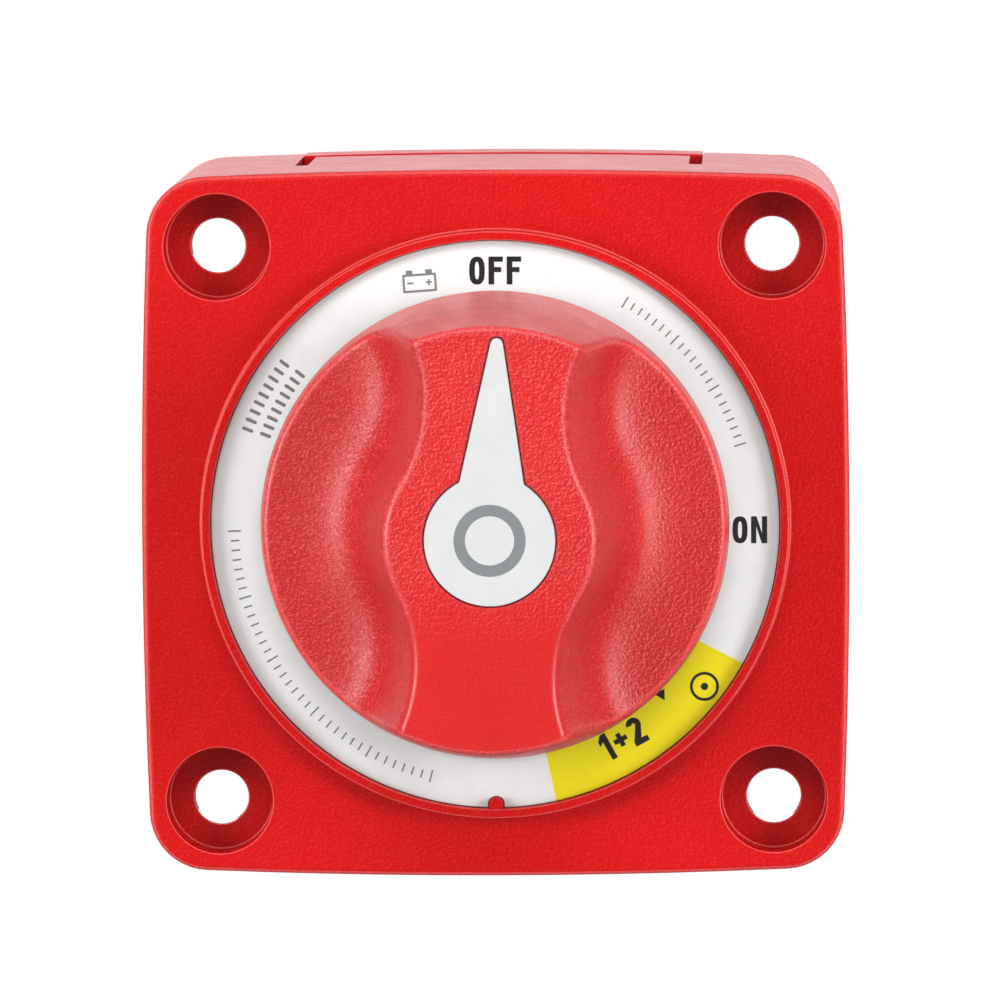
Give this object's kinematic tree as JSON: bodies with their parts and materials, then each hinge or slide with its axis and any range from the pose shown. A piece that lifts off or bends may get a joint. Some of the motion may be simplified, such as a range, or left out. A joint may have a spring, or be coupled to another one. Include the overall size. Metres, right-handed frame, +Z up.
{
  "type": "battery switch",
  "caption": "Square surface-mount rotary battery switch: waisted grip knob on a ringed dial, corner screw holes, stud terminals under a snap-in back cover.",
  "frame": {"origin": "on the knob's axis, at the centre of the rear mounting plane", "axes": "the knob points along -Y, +Y is the way into the panel, +Z is up (towards the off mark), +X is to the right seen from the front"},
  "size_m": [0.0692, 0.0734, 0.0692],
  "materials": {
    "case_red": "moulded, fine grain",
    "cover_red": "moulded, fine grain",
    "knob_red": "moulded, fine grain, semi-gloss",
    "label_print": "printed, satin",
    "pointer_white": "satin",
    "black_nylon": "moulded",
    "natural_acetal": "moulded",
    "seal_rubber": "smooth",
    "steel": "turned",
    "spring_steel": "drawn wire",
    "copper": "stamped",
    "tinned_copper": "tin plated, dull",
    "tinned_brass": "nickel plated, dull"
  },
  "bodies": {
    "case": {"housing": "case_red", "label_ring": "label_print", "detent_ring": "natural_acetal", "base_gasket": "seal_rubber", "contact_base": "black_nylon", "base_screws": "steel", "contact_pad_a": "copper", "contact_pad_b": "copper", "contact_pad_c": "copper", "contact_pad_d": "copper", "terminal_studs": "tinned_copper", "stud_flat_washers": "tinned_brass", "stud_lock_washers": "spring_steel", "stud_nuts": "tinned_brass"},
    "cover": {"back_cover": "cover_red"},
    "rotor": {"knob": "knob_red", "pointer_inlay": "pointer_white", "knob_screw": "steel", "knob_washer": "steel", "spindle": "black_nylon", "shaft_seal": "seal_rubber", "thrust_washer": "natural_acetal", "detent_spring_a": "spring_steel", "detent_spring_b": "spring_steel", "bridge_springs_a": "spring_steel", "bridge_springs_b": "spring_steel", "combine_spring": "spring_steel"},
    "plunger_a": {"detent_plunger_a": "steel"},
    "plunger_b": {"detent_plunger_b": "steel"},
    "bridge_a": {"bridge_contact_a": "copper"},
    "bridge_b": {"bridge_contact_b": "copper"},
    "combiner": {"combine_contact": "copper"}
  },
  "joints": [
    {"name": "knob_turn", "type": "hinge", "parent": "case", "child": "rotor", "pos_m": [0, -0.05, 0], "axis": [0, 1, 0], "range_deg": [-2.3, 132.7]},
    {"name": "back_cover_slide", "type": "slide", "parent": "case", "child": "cover", "axis": [0, 1, 0], "range_m": [0, 0.04]},
    {"name": "detent_a_slide", "type": "slide", "parent": "rotor", "child": "plunger_a", "axis": [0.0401, 0, 0.9992], "range_m": [0, 0.001], "deforming": ["detent_spring_a"]},
    {"name": "detent_b_slide", "type": "slide", "parent": "rotor", "child": "plunger_b", "axis": [-0.0401, 0, -0.9992], "range_m": [0, 0.001], "deforming": ["detent_spring_b"]},
    {"name": "bridge_a_float", "type": "slide", "parent": "rotor", "child": "bridge_a", "axis": [0, -1, 0], "range_m": [0, 0.0008], "deforming": ["bridge_springs_a"]},
    {"name": "bridge_b_float", "type": "slide", "parent": "rotor", "child": "bridge_b", "axis": [0, -1, 0], "range_m": [0, 0.0008], "deforming": ["bridge_springs_b"]},
    {"name": "combiner_float", "type": "slide", "parent": "rotor", "child": "combiner", "axis": [0, -1, 0], "range_m": [0, 0.0008], "deforming": ["combine_spring"]}
  ],
  "couplings": [
    {"joint": "detent_b_slide", "follows": "detent_a_slide", "ratio": 1}
  ]
}
